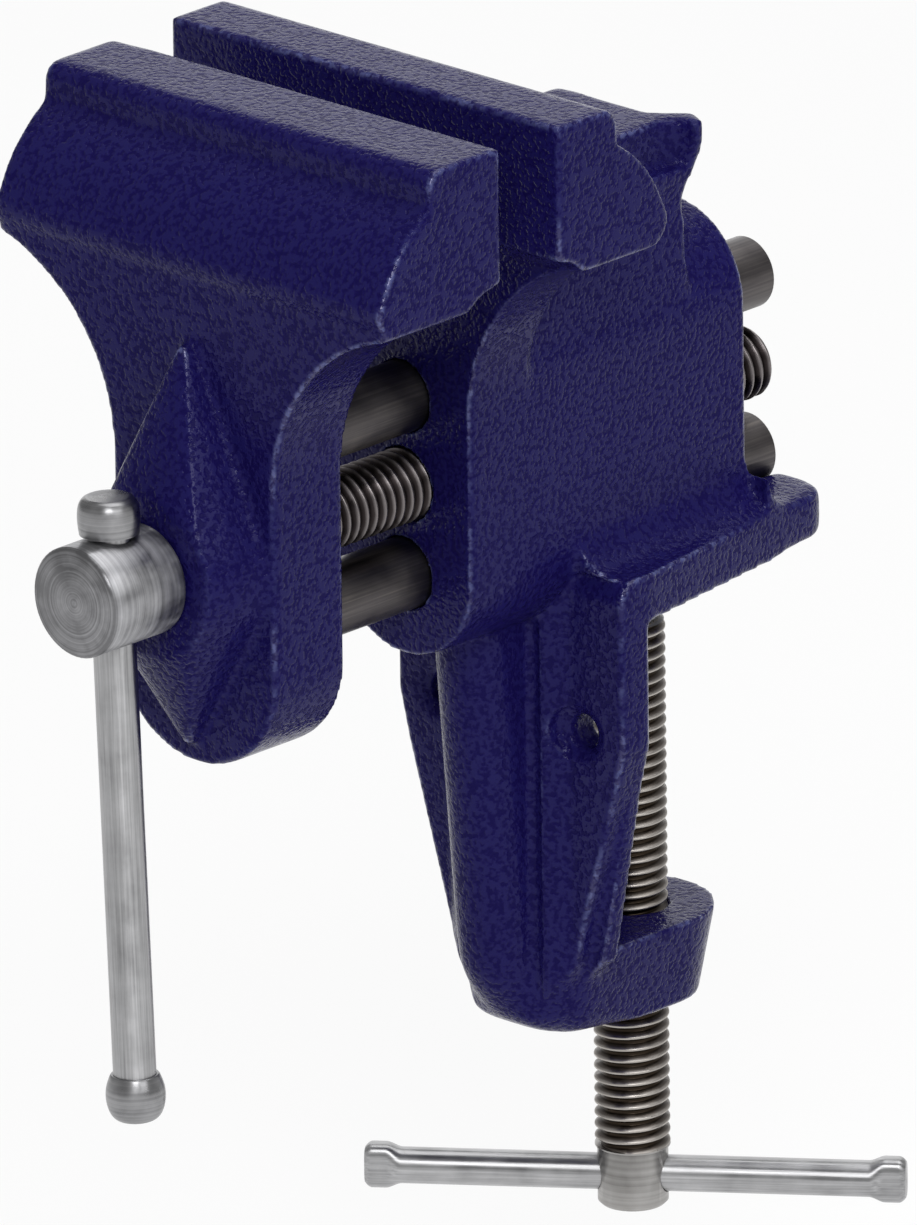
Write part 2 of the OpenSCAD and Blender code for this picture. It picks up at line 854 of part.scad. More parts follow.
module clamp_screw() {
    color("silver")
    difference() {
        union() {
            translate([0, 0, clamp_head_z])
                cylinder(d = clamp_d, h = shoulder_z - tip - clamp_head_z);
            translate([0, 0, shoulder_z - tip])
                cylinder(d1 = clamp_d, d2 = clamp_d - 2 * tip, h = tip);
            translate([0, 0, -clamp_low + chamfer])
                cylinder(d = clamp_head_d, h = clamp_head_h);
            translate([0, 0, -clamp_low])
                cylinder(d1 = clamp_head_d - 2 * chamfer, d2 = clamp_head_d, h = chamfer);
            translate([0, 0, shoulder_z - eps])
                cylinder(r = neck_pin_r, h = ball_z - shoulder_z);
            translate([0, 0, ball_z])
                sphere(r = ball_r);
        }
        translate([0, 0, tee_z])
            rotate([0, 90, tee_turn])
                cylinder(d = tee_d + 2 * bar_fit, h = 2 * clamp_head_d, center = true);
    }
}

module swivel_pad() {
    color("darkgray")
    difference() {
        union() {
            translate([0, 0, pad_low_z + tip])
                cylinder(d = pad_d, h = pad_h - tip - chamfer);
            translate([0, 0, pad_low_z])
                cylinder(d1 = pad_d - 4 * tip, d2 = pad_d, h = tip);
            translate([0, 0, pad_top_z - chamfer])
                cylinder(d1 = pad_d, d2 = pad_d - 2 * chamfer, h = chamfer);
        }
        translate([0, 0, ball_z])
            sphere(r = ball_r + run_fit);
        translate([0, 0, pad_low_z - over])
            cylinder(r = neck_pin_r + face_gap, h = ball_z - pad_low_z + over);
    }
}

// Round bar with its ends squeezed to flats, so it can't fall out
module clamp_bar() {
    straight = tee_len - 2 * tee_end_len;
    half = tee_end_len / 2;
    flat = tee_d * end_flat;
    color("silver")
    translate([0, 0, tee_z])
        rotate([0, 90, tee_turn])
            translate([0, 0, tee_shift]) {
                cylinder(d = tee_d, h = straight + tip, center = true);
                for (turn = [0, 180])
                    rotate([turn, 0, 0])
                        intersection() {
                            union() {
                                translate([0, 0, straight / 2])
                                    cylinder(d1 = tee_d, d2 = tee_end_w, h = half);
                                translate([0, 0, straight / 2 + half])
                                    cylinder(d1 = tee_end_w, d2 = tee_end_w - chamfer, h = half);
                            }
                            translate([-tee_end_w / 2, -flat / 2, straight / 2])
                                cube([tee_end_w, flat, tee_end_len]);
                        }
            }
}

fixed_body();
front_jaw();
guide_rod_upper();
guide_rod_lower();
main_screw();
thrust_washer();
retaining_collar();
collar_pin();
handle_bar();
handle_knob_top();
handle_knob_bottom();
clamp_screw();
swivel_pad();
clamp_bar();
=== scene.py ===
"""Clamp-on table vise: castings with rounded edges and hammered paint, cut threads, turned steel."""
import json
import math

import bmesh
import bpy
from mathutils import Matrix, Vector


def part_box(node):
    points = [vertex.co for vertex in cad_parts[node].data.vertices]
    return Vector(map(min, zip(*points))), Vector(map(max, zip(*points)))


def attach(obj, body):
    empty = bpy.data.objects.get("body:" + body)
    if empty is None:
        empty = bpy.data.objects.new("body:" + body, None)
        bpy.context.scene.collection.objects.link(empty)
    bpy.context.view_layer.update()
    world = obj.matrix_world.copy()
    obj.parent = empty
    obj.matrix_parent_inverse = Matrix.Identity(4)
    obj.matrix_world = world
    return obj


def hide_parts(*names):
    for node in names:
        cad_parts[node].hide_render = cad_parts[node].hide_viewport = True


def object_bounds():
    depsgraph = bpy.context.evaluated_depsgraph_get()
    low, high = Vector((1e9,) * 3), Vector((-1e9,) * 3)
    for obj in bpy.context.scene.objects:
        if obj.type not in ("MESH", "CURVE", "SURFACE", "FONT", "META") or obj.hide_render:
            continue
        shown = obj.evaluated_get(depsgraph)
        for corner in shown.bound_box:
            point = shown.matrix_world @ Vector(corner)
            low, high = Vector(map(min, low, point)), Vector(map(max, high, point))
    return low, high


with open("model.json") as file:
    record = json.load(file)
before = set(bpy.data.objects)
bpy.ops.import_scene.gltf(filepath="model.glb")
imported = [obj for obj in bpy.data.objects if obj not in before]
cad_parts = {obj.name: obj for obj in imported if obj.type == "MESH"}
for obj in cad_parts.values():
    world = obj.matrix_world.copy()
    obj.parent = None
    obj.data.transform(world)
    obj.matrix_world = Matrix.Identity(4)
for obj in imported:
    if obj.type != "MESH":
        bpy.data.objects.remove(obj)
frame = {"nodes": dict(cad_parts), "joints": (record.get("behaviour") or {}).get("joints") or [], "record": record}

CAD_BOX = [list(corner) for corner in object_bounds()]
NODES = frame["nodes"]
JOINTS = {joint["name"]: joint for joint in frame["joints"]}
COUPLINGS = {c["joint"]: c["ratio"] for c in frame["record"]["behaviour"]["couplings"]}
MOUNTS = {mount["name"]: mount for mount in frame["record"]["mounts"]}
MM = 0.001
ALONG = Vector((0, 1, 0))
UP = Vector((0, 0, 1))

# Photo's view, measured on the object: direction, scale and the point in the middle of the frame
VIEW_AZIMUTH = math.radians(43.3)
VIEW_ELEVATION = math.radians(19.4)
VIEW_ROLL = -0.0122
VIEW_TARGET = Vector((5.51, -41.55, 3.53)) * MM
VIEW_DISTANCE = 5.5
VIEW_CLIP = 40.0
PHOTO_HEIGHT_PX = 1225
PHOTO_PX_PER_MM = 6.93
SENSOR_MM = 36.0

# Castings
VOXEL = 0.55 * MM
CAST_ROUNDS = 16
CAST_FACTOR = 0.5
CAST_SHARE = 0.38
# boxes in mm where a casting is rounder than elsewhere: its node, low corner, high corner and how much
ROUND_ZONES = [
    ("fixed_body", (-20, -40, -72), (20, -15, -60), 1.0),
    ("fixed_body", (-17, -6, 58), (-11, 6, 75), 0.35),
    ("fixed_body", (-22, 18, -1), (22, 30, 12), 0.6),
    ("front_jaw", (-40, -95, 45), (-35, -60, 90), 0.2),
]
ZONE_BLEND = 5 * MM
ZONE_ROUNDS = 80
# share of the rounding that the edges of the wood screw holes keep, within this distance of their axes
HOLE_SHARE = 0.12
HOLE_NEAR = 4.4 * MM
RUN_FIT = 0.08 * MM
# the clamp screw's hole reaches this far up from the hook's underside
HOOK_REACH = 20 * MM
WELD = 0.002 * MM

# Threads
MAIN_PITCH = 2 * math.pi / COUPLINGS["main_screw_turn"]
CLAMP_PITCH = 2 * math.pi / COUPLINGS["clamp_turn"]
MAIN_CHAMFER = 1.0 * MM
CLAMP_CHAMFER = 0.8 * MM
# share of the pitch
THREAD_DEPTH = 0.58
THREAD_STEPS = 64
# share of the pitch and share of the depth, once round the thread's form
THREAD_FORM = [(0.0, 0.0), (0.06, 0.0), (0.16, 0.05), (0.38, 0.92),
               (0.46, 1.0), (0.66, 1.0), (0.74, 0.92), (0.94, 0.05)]

# Turned and drawn pieces
LATHE_STEPS = 96
CUT_SHARP_DEG = 30
BAR_SHARP_DEG = 35
TEE_SHARP_DEG = 40
KNOB_SHARP_DEG = 50
KNOB_SPAN_STEPS = 4
BAR_EDGE = 0.5 * MM
# the main screw's head and thread meet this far inside the boss
HEAD_INSET = 0.4 * MM
# depth of the head's end face that gets painted shade, and the depth over which that painted shade fades
FACE_EDGE = 0.3 * MM
FACE_FADE = 0.5 * MM
CLAMP_HEAD_H = 9.2 * MM
# the clamp screw's thread ends this far below the pad, and its tip reaches down into the thread
SHOULDER_GAP = 1.2 * MM
TIP_LAP = 0.6 * MM
# way along the handle, then share of the radius and share of the height from the knob's seat to its end
KNOB_FORMS = {
    "handle_knob_top": (1, [
        (0.69, 0.0), (0.93, 0.0), (0.96, 0.03), (0.985, 0.2), (1.0, 0.42), (0.985, 0.64),
        (0.94, 0.80), (0.84, 0.93), (0.72, 0.99), (0.62, 1.0), (0.3, 1.0), (0.05, 1.0)]),
    "handle_knob_bottom": (-1, [
        (0.70, 0.0), (0.80, 0.0), (0.88, 0.1), (0.97, 0.28), (1.0, 0.46), (0.97, 0.64),
        (0.88, 0.82), (0.74, 0.94), (0.55, 1.0), (0.3, 1.0), (0.05, 1.0)]),
}

# Clamp bar: radius, length of a squeezed end, and half its thickness there
TEE_R = 2.7 * MM
TEE_END = 5.5 * MM
TEE_FLAT = 0.78 * TEE_R
# shares of the squeezed end: where it is fully flat, where its edge starts and how far that draws in
TEE_FLAT_FROM = 0.45
TEE_EDGE_FROM = 0.8
TEE_EDGE_CUT = 0.22
TEE_SQUARENESS = 0.35
TEE_END_ROWS = 24

# Paint
PAINT_IOR = 1.20
EDGE_IOR = 1.55
PAINT_TINT = (0.78, 0.78, 1.0, 1.0)
# tones of the hammered skin: darker in the pits, partly the paint's own tone and partly painted shade
PAINT_TONES = [(0.2, (0.0064, 0.0042, 0.056)), (0.55, (0.0079, 0.0053, 0.067)),
               (0.85, (0.0104, 0.0086, 0.077))]
# paler blue laid in specks on convex edges: painted glints
EDGE_GLINT_PAINT = (0.085, 0.100, 0.25)
HAMMER_SCALE = 1250.0
HAMMER_RANGE = (0.34, 0.60)
HAMMER_DEPTH = 0.075 * MM
SWELL_SCALE = 300.0
SWELL_SHARE = 0.8
# specular level in the pits and on the ground between them
PAINT_GLOSS = (0.26, 0.58)
PAINT_ROUGH = (0.14, 0.22)
PAINT_PATCH_SCALE = 45.0
# share of the hammered ground in the paint's tone, the rest is patches
GROUND_SHARE = 0.6
EDGE_POINTINESS = (0.512, 0.545)
# painted glints on the edges: patterns per metre, and the range of each pattern with what it stands for
GLINT_PATCH_SCALE = 70.0
GLINT_PATCHES = (0.36, 0.62, 0.15, 1.0)
GLINT_SPECK_SCALE = 900.0
GLINT_SPECKS = (0.46, 0.60, 0.0, 0.7)

# Steel: tones, patterns per metre, lowest and highest roughness, depth of the marks
ROD_TONES = [(0.3, (0.055, 0.050, 0.056)), (0.55, (0.120, 0.110, 0.110)), (0.75, (0.23, 0.208, 0.19))]
ROD_STREAKS = (2600, 40, 2600)
ROD_PATCH_SCALE = 90.0
ROD_ROUGH = (0.3, 0.5)
ROD_DEPTH = 0.01 * MM
# dark and light steel of the bar's lengthwise streaks, partly drawing marks and partly painted reflection stripes
BAR_TONES = [(0.3, (0.22, 0.22, 0.225)), (0.7, (0.60, 0.60, 0.61))]
BAR_STREAKS_AND_REFLECTIONS = (3200, 3200, 60)
BAR_HAZE_SCALE = 170.0
BAR_ROUGH = (0.32, 0.44)
BAR_DEPTH = 0.012 * MM
BAR_GRAIN = 0.8
# dark and light tone, rings per metre, roughness, and how far highlights are drawn out
TURNED_STEELS = {
    "turned_head": ((0.17, 0.17, 0.177), (0.56, 0.56, 0.58), 2600.0, 0.36, 0.75),
    "turned_knob": ((0.15, 0.15, 0.155), (0.42, 0.42, 0.43), 2200.0, 0.32, 0.4),
    "machined_steel": ((0.16, 0.16, 0.165), (0.36, 0.36, 0.365), 1800.0, 0.38, 0.0),
    "clamp_head": ((0.26, 0.25, 0.24), (0.55, 0.54, 0.53), 1500.0, 0.36, 0.75),
}
TURNED_HAZE_SCALE = 240.0
TURNED_DEPTH = 0.014 * MM
# haze makes turned steel this much smoother or rougher
HAZE_SMOOTHER, HAZE_ROUGHER = 0.06, 0.1
# how much painted shade darkens the head's end face
FACE_PAINTED_SHADE = 0.14
# root, flank and crest
THREAD_TONES = {
    "main_thread": ((0.010, 0.008, 0.008), (0.045, 0.037, 0.037), (0.22, 0.20, 0.20)),
    "clamp_thread": ((0.034, 0.025, 0.018), (0.145, 0.125, 0.112), (0.46, 0.43, 0.40)),
}
THREAD_STOPS = (0.05, 0.6, 0.95)
GRIME_SCALE = 420.0
GRIME_SHARE = 0.35
THREAD_ROUGH = (0.26, 0.48)
GRIME_DEPTH = 0.02 * MM
# shares of the root's radius between which an end face turns into thread
END_FACE = (0.84, 0.94)
# a quarter turn lays the highlights across the marks
GRAIN_TURN = 0.25
# range that most values of a noise pattern lie in, and its middle
NOISE_LOW, NOISE_HIGH = 0.3, 0.7
NOISE_MIDDLE = 0.5

# Stage
FLOOR_CLEAR = 0.5 * MM
FLOOR_HALF = 8.0
FLOOR_GLOW = 0.72
FLOOR_PATCH_SCALE = 3.0
FLOOR_TONES = [(0.3, (0.88, 0.88, 0.88)), (0.7, (0.91, 0.91, 0.91))]
SKY_LIGHT = 0.4
AIM = (0.0, -0.03, 0.0)
# place, size and watts
LAMPS = {
    "overhead": ((0.1, 0.3, 1.5), 1.4, 13.8),
    "back_left": ((-1.05, 1.1, 0.55), 1.4, 4.8),
    "right_side": ((1.3, -0.3, 0.7), 0.8, 4.0),
    "front_glint": ((0.70, -0.78, 0.75), 0.45, 5.6),
}


# Mesh helpers


def link(name, mesh):
    """A new object for this mesh in the scene."""
    obj = bpy.data.objects.new(name, mesh)
    bpy.context.scene.collection.objects.link(obj)
    return obj


def shade(mesh, sharp_deg=None):
    """Smooth shading, with hard edges above the given angle."""
    for poly in mesh.polygons:
        poly.use_smooth = True
    if sharp_deg is not None:
        mesh.set_sharp_from_angle(angle=math.radians(sharp_deg))


def build(name, verts, faces, sharp_deg=None):
    """An object from points and faces, welded, with its faces turned outwards."""
    mesh = bpy.data.meshes.new(name)
    mesh.from_pydata([tuple(v) for v in verts], [], faces)
    bm = bmesh.new()
    bm.from_mesh(mesh)
    bmesh.ops.remove_doubles(bm, verts=bm.verts, dist=WELD)
    bmesh.ops.dissolve_degenerate(bm, edges=bm.edges, dist=WELD)
    bmesh.ops.recalc_face_normals(bm, faces=bm.faces)
    bm.to_mesh(mesh)
    bm.free()
    shade(mesh, sharp_deg)
    return link(name, mesh)


def rings(name, loops, sharp_deg):
    """Skin over a row of closed loops with equal counts, closed at both ends."""
    count = len(loops[0])
    verts = [p for loop in loops for p in loop]
    faces = []
    for i in range(len(loops) - 1):
        for j in range(count):
            k = (j + 1) % count
            faces.append((i * count + j, i * count + k, (i + 1) * count + k, (i + 1) * count + j))
    faces.append(tuple(range(count)))
    faces.append(tuple((len(loops) - 1) * count + j for j in range(count)))
    return build(name, verts, faces, sharp_deg)


def circle(radius, z):
    """Points of a circle about the local Z axis."""
    turn = 2 * math.pi / LATHE_STEPS
    return [(radius * math.cos(turn * i), radius * math.sin(turn * i), z) for i in range(LATHE_STEPS)]


def lathe(name, profile, sharp_deg):
    """A turned piece about the local Z axis from (radius, height) points."""
    return rings(name, [circle(radius, z) for radius, z in profile], sharp_deg)


def smooth_profile(points, per_span):
    """A rounded line through (radius, height) points."""
    out = []
    last = len(points) - 1
    for i in range(last):
        p0, p1, p2, p3 = (Vector(points[min(max(i + k, 0), last)]) for k in (-1, 0, 1, 2))
        for step in range(per_span):
            t = step / per_span
            out.append(0.5 * (2 * p1 + (p2 - p0) * t + (2 * p0 - 5 * p1 + 4 * p2 - p3) * t ** 2
                              + (3 * p1 - p0 - 3 * p2 + p3) * t ** 3))
    out.append(Vector(points[-1]))
    return [(max(p.x, 0.0), p.y) for p in out]


def place(obj, origin, axis):
    """Sets the object's origin, with its local Z along the axis."""
    turn = UP.rotation_difference(Vector(axis)).to_matrix().to_4x4()
    obj.matrix_world = Matrix.Translation(Vector(origin)) @ turn


def settle(obj):
    """Turns the object's modifiers into its mesh."""
    bpy.context.view_layer.update()
    graph = bpy.context.evaluated_depsgraph_get()
    mesh = bpy.data.meshes.new_from_object(obj.evaluated_get(graph))
    old = obj.data
    obj.modifiers.clear()
    obj.data = mesh
    bpy.data.meshes.remove(old)


def cad_copy(node, name):
    """A welded copy of a CAD node's mesh as a new object."""
    mesh = NODES[node].data.copy()
    mesh.name = name
    bm = bmesh.new()
    bm.from_mesh(mesh)
    bmesh.ops.remove_doubles(bm, verts=bm.verts, dist=WELD)
    bm.to_mesh(mesh)
    bm.free()
    mesh.materials.clear()
    return link(name, mesh)


def keep_part(obj, point, normal):
    """Cuts the object at a plane, keeps the side behind the normal and closes the cut."""
    bm = bmesh.new()
    bm.from_mesh(obj.data)
    everything = list(bm.verts) + list(bm.edges) + list(bm.faces)
    cut = bmesh.ops.bisect_plane(bm, geom=everything, plane_co=point, plane_no=normal, clear_outer=True)
    edges = [e for e in cut["geom_cut"] if isinstance(e, bmesh.types.BMEdge)]
    bmesh.ops.edgeloop_fill(bm, edges=edges)
    bm.to_mesh(obj.data)
    bm.free()
    shade(obj.data, CUT_SHARP_DEG)


def close_ends(obj):
    """Flat faces over the open ends of a mesh."""
    bm = bmesh.new()
    bm.from_mesh(obj.data)
    caps = bmesh.ops.holes_fill(bm, edges=[edge for edge in bm.edges if edge.is_boundary], sides=0)
    for face in caps["faces"]:
        face.smooth = False
    bmesh.ops.recalc_face_normals(bm, faces=bm.faces)
    bm.to_mesh(obj.data)
    bm.free()


def middle(node):
    """Middle of a CAD node's box."""
    low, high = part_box(node)
    return (low + high) / 2


def half_width(node):
    """Half of a CAD node's size across the vise."""
    low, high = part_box(node)
    return (high.x - low.x) / 2


# Castings


class Bore:
    """A round hole in a casting: a point on its axis, its direction, radius and reach from the point."""

    def __init__(self, point, axis, radius, reach=math.inf):
        self.point, self.axis, self.radius, self.reach = Vector(point), axis, radius, reach

    def push(self, co):
        """The point moved out to the hole's wall if it lies inside the hole."""
        offset = co - self.point
        along = self.axis * offset.dot(self.axis)
        out = offset - along
        if along.length <= self.reach and 0 < out.length < self.radius:
            return self.point + along + out * (self.radius / out.length)
        return co


def rod_bore(node):
    """The hole that a guide rod runs in, as long as the rod."""
    low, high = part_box(node)
    return Bore(middle(node), ALONG, half_width(node) + RUN_FIT, (high.y - low.y) / 2)


def near_screw_hole(co):
    """True close to one of the two wood screw holes in the wings."""
    holes = MOUNTS["bench_screws"]
    _, y, z = holes["pos_m"]
    across = abs(co.x) - holes["dims"]["spacing_x_mm"] * MM / 2
    return math.hypot(across, co.z - z) < HOLE_NEAR and abs(co.y - y) < 2 * HOLE_NEAR


def zone_share(co, zone):
    """The zone's share inside its box, falling to 0 at the blend distance outside it."""
    _, low, high, share = zone
    gap = max(max(low[i] * MM - co[i], co[i] - high[i] * MM, 0.0) for i in range(3))
    return share * max(0.0, 1 - gap / ZONE_BLEND)


def soften(obj, rounds, share_at):
    """Rounds the mesh by the share that the function gives for each point."""
    group = obj.vertex_groups.new(name="rounding")
    rows = {}
    for vert in obj.data.vertices:
        rows.setdefault(round(share_at(vert.co), 2), []).append(vert.index)
    for share, row in rows.items():
        group.add(row, share, "REPLACE")
    smooth = obj.modifiers.new("soften", "SMOOTH")
    smooth.factor = CAST_FACTOR
    smooth.iterations = rounds
    smooth.vertex_group = group.name
    settle(obj)
    obj.vertex_groups.clear()


def casting(node, bores):
    """A CAD casting with its edges rounded as moulded iron has them, and its holes kept round."""
    obj = cad_copy(node, node + "_cast")
    remesh = obj.modifiers.new("skin", "REMESH")
    remesh.mode = "VOXEL"
    remesh.voxel_size = VOXEL
    settle(obj)
    soften(obj, CAST_ROUNDS, lambda co: HOLE_SHARE if near_screw_hole(co) else CAST_SHARE)
    zones = [zone for zone in ROUND_ZONES if zone[0] == node]
    soften(obj, ZONE_ROUNDS, lambda co: max(zone_share(co, zone) for zone in zones))
    for vert in obj.data.vertices:
        for bore in bores:
            vert.co = bore.push(vert.co)
    shade(obj.data)
    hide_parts(node)
    return obj


# Threads


def thread_cut(share):
    """Share of the thread's depth that is cut away at a share of the pitch."""
    form = THREAD_FORM + [(1.0, 0.0)]
    for (s0, d0), (s1, d1) in zip(form, form[1:]):
        if share <= s1:
            return d0 + (d1 - d0) * (share - s0) / (s1 - s0)


def thread(name, radius, pitch, length, chamfer):
    """A right-hand thread about local Z from 0 to the length, its far end chamfered."""
    depth = THREAD_DEPTH * pitch
    verts = []
    for n in range(-1, int(length / pitch) + 2):
        for share, _ in THREAD_FORM:
            for i in range(THREAD_STEPS):
                turn = i / THREAD_STEPS
                z = min(max((n + share + turn) * pitch, 0.0), length)
                cut = thread_cut((z / pitch - turn) % 1.0)
                r = min(radius - depth * cut, radius - chamfer + (length - z))
                angle = 2 * math.pi * turn
                verts.append((r * math.cos(angle), r * math.sin(angle), z))
    rows = len(verts) // THREAD_STEPS
    faces = []
    for row in range(rows - 1):
        for i in range(THREAD_STEPS):
            k = (i + 1) % THREAD_STEPS
            # at the seam a row goes on as the same row of the next turn
            to = row if k else row + len(THREAD_FORM)
            if to + 1 < rows:
                faces.append((row * THREAD_STEPS + i, to * THREAD_STEPS + k,
                              (to + 1) * THREAD_STEPS + k, (row + 1) * THREAD_STEPS + i))
    obj = build(name, verts, faces)
    close_ends(obj)
    return obj


# Materials


class Look:
    """A node material whose colour, roughness and bump come from object-space patterns."""

    def __init__(self, name, metallic, roughness):
        self.material = bpy.data.materials.new(name)
        self.material.use_nodes = True
        self.nodes = self.material.node_tree.nodes
        self.links = self.material.node_tree.links
        self.shader = self.nodes["Principled BSDF"]
        self.shader.inputs["Metallic"].default_value = metallic
        self.shader.inputs["Roughness"].default_value = roughness
        self.coords = self.nodes.new("ShaderNodeTexCoord").outputs["Object"]

    def join(self, out, to):
        """Links an output to an input."""
        self.links.new(out, to)

    def stretched(self, scale):
        """Object coordinates scaled per axis."""
        node = self.nodes.new("ShaderNodeMapping")
        node.inputs["Scale"].default_value = scale
        self.join(self.coords, node.inputs["Vector"])
        return node.outputs["Vector"]

    def noise(self, scale, detail=2.0, vector=None):
        """Noise pattern over the object's or the given coordinates."""
        node = self.nodes.new("ShaderNodeTexNoise")
        node.inputs["Scale"].default_value = scale
        node.inputs["Detail"].default_value = detail
        self.join(vector or self.coords, node.inputs["Vector"])
        return node.outputs["Fac"]

    def math(self, kind, a, b):
        """Result of a math node on two outputs or numbers."""
        node = self.nodes.new("ShaderNodeMath")
        node.operation = kind
        for socket, value in zip(node.inputs, (a, b)):
            if isinstance(value, (int, float)):
                socket.default_value = value
            else:
                self.join(value, socket)
        return node.outputs["Value"]

    def blend(self, a, share, b):
        """Two patterns added up, the first by its share and the second by the rest."""
        return self.math("ADD", self.math("MULTIPLY", a, share), self.math("MULTIPLY", b, 1.0 - share))

    def remap(self, value, low, high, to_low, to_high):
        """A value carried smoothly from one range to another."""
        node = self.nodes.new("ShaderNodeMapRange")
        node.interpolation_type = "SMOOTHSTEP"
        for key, number in (("From Min", low), ("From Max", high), ("To Min", to_low), ("To Max", to_high)):
            node.inputs[key].default_value = number
        self.join(value, node.inputs["Value"])
        return node.outputs["Result"]

    def mix(self, a, colour, share):
        """A colour output with part of it turned to a plain colour."""
        node = self.nodes.new("ShaderNodeMixRGB")
        node.inputs["Color2"].default_value = (*colour, 1.0)
        self.join(a, node.inputs["Color1"])
        self.join(share, node.inputs["Fac"])
        return node.outputs["Color"]

    def ramp(self, value, stops):
        """Colour from a 0 to 1 value, by (place, colour) stops."""
        node = self.nodes.new("ShaderNodeValToRGB")
        row = node.color_ramp.elements
        while len(row) < len(stops):
            row.new(0.5)
        for element, (spot, colour) in zip(row, stops):
            element.position = spot
            element.color = (*colour, 1.0)
        self.join(value, node.inputs["Fac"])
        return node.outputs["Color"]

    def radius(self):
        """Distance from the local Z axis."""
        node = self.nodes.new("ShaderNodeVectorMath")
        node.operation = "LENGTH"
        self.join(self.stretched((1, 1, 0)), node.inputs[0])
        return node.outputs["Value"]

    def glow(self, share):
        """Shows part of the surface as plain white where the camera, mirrors or glass see it."""
        path = self.nodes.new("ShaderNodeLightPath")
        seen = self.math("MAXIMUM", path.outputs["Is Camera Ray"], path.outputs["Is Glossy Ray"])
        seen = self.math("MAXIMUM", seen, path.outputs["Is Transmission Ray"])
        white = self.nodes.new("ShaderNodeEmission")
        mix = self.nodes.new("ShaderNodeMixShader")
        self.join(self.math("MULTIPLY", seen, share), mix.inputs["Fac"])
        self.join(self.shader.outputs["BSDF"], mix.inputs[1])
        self.join(white.outputs["Emission"], mix.inputs[2])
        self.join(mix.outputs["Shader"], self.nodes["Material Output"].inputs["Surface"])

    def grain(self, amount):
        """Highlights drawn out across marks that run round the local Z axis."""
        node = self.nodes.new("ShaderNodeTangent")
        node.direction_type = "RADIAL"
        node.axis = "Z"
        self.join(node.outputs["Tangent"], self.shader.inputs["Tangent"])
        self.shader.inputs["Anisotropic"].default_value = amount
        self.shader.inputs["Anisotropic Rotation"].default_value = GRAIN_TURN

    def colour(self, out):
        """Base colour from an output."""
        self.join(out, self.shader.inputs["Base Color"])

    def rough(self, pattern, low, high):
        """Roughness that varies with a noise pattern."""
        self.join(self.remap(pattern, NOISE_LOW, NOISE_HIGH, low, high), self.shader.inputs["Roughness"])

    def bump(self, height, distance):
        """Raised pattern of this height."""
        node = self.nodes.new("ShaderNodeBump")
        node.inputs["Distance"].default_value = distance
        node.inputs["Strength"].default_value = 1.0
        self.join(height, node.inputs["Height"])
        self.join(node.outputs["Normal"], self.shader.inputs["Normal"])


def paint_look():
    """Dark blue paint with a pitted, hammered skin, darker in the pits partly as painted shade, and paler specks
    on the edges as painted glints.
    """
    look = Look("hammered_paint", 0.0, 0.3)
    look.shader.inputs["Specular Tint"].default_value = PAINT_TINT
    swell = look.noise(SWELL_SCALE, detail=1.0)
    ground = look.remap(look.noise(HAMMER_SCALE, detail=1.0), *HAMMER_RANGE, 0.0, 1.0)
    look.bump(look.math("ADD", ground, look.math("MULTIPLY", swell, SWELL_SHARE)), HAMMER_DEPTH)
    look.join(look.remap(ground, 0.0, 1.0, *PAINT_GLOSS), look.shader.inputs["Specular IOR Level"])
    # the pits get the darker tones: partly the paint's own tone, partly painted shade in the pits
    paint = look.ramp(look.blend(ground, GROUND_SHARE, look.noise(PAINT_PATCH_SCALE)), PAINT_TONES)
    pointiness = look.nodes.new("ShaderNodeNewGeometry").outputs["Pointiness"]
    glint_patches = look.remap(look.noise(GLINT_PATCH_SCALE), *GLINT_PATCHES)
    edge = look.math("MULTIPLY", look.remap(pointiness, *EDGE_POINTINESS, 0.0, 1.0), glint_patches)
    glint_specks = look.remap(look.noise(GLINT_SPECK_SCALE), *GLINT_SPECKS)
    # paler specks on the convex edges are painted glints
    look.colour(look.mix(paint, EDGE_GLINT_PAINT, look.math("MULTIPLY", edge, glint_specks)))
    look.join(look.remap(edge, 0.0, 1.0, PAINT_IOR, EDGE_IOR), look.shader.inputs["IOR"])
    look.rough(swell, *PAINT_ROUGH)
    return look.material


def rod_look():
    """Dark oxide with drawing marks along the rod."""
    look = Look("dark_rod", 1.0, 0.4)
    streak = look.noise(1.0, detail=4.0, vector=look.stretched(ROD_STREAKS))
    patch = look.noise(ROD_PATCH_SCALE, detail=4.0)
    look.colour(look.ramp(look.blend(streak, 0.5, patch), ROD_TONES))
    look.rough(patch, *ROD_ROUGH)
    look.bump(streak, ROD_DEPTH)
    return look.material


def thread_look(name, pitch):
    """Cut thread: dark at the root, brighter towards the crest, bright on the end face."""
    look = Look(name, 1.0, 0.35)
    depth = THREAD_DEPTH * pitch
    root_r = SCREW_R - depth
    grime = look.noise(GRIME_SCALE, detail=5.0)
    from_axis = look.radius()
    level = look.math("DIVIDE", look.math("SUBTRACT", from_axis, root_r), depth)
    smear = look.math("MULTIPLY", look.math("SUBTRACT", grime, NOISE_MIDDLE), GRIME_SHARE)
    # tone by height in the thread: darker towards the root, brighter towards the crest
    cut = look.ramp(look.math("ADD", level, smear), list(zip(THREAD_STOPS, THREAD_TONES[name])))
    crest = THREAD_TONES[name][-1]
    end_face = look.remap(from_axis, END_FACE[0] * root_r, END_FACE[1] * root_r, 1.0, 0.0)
    look.colour(look.mix(cut, crest, end_face))
    look.rough(grime, *THREAD_ROUGH)
    look.bump(grime, GRIME_DEPTH)
    return look.material


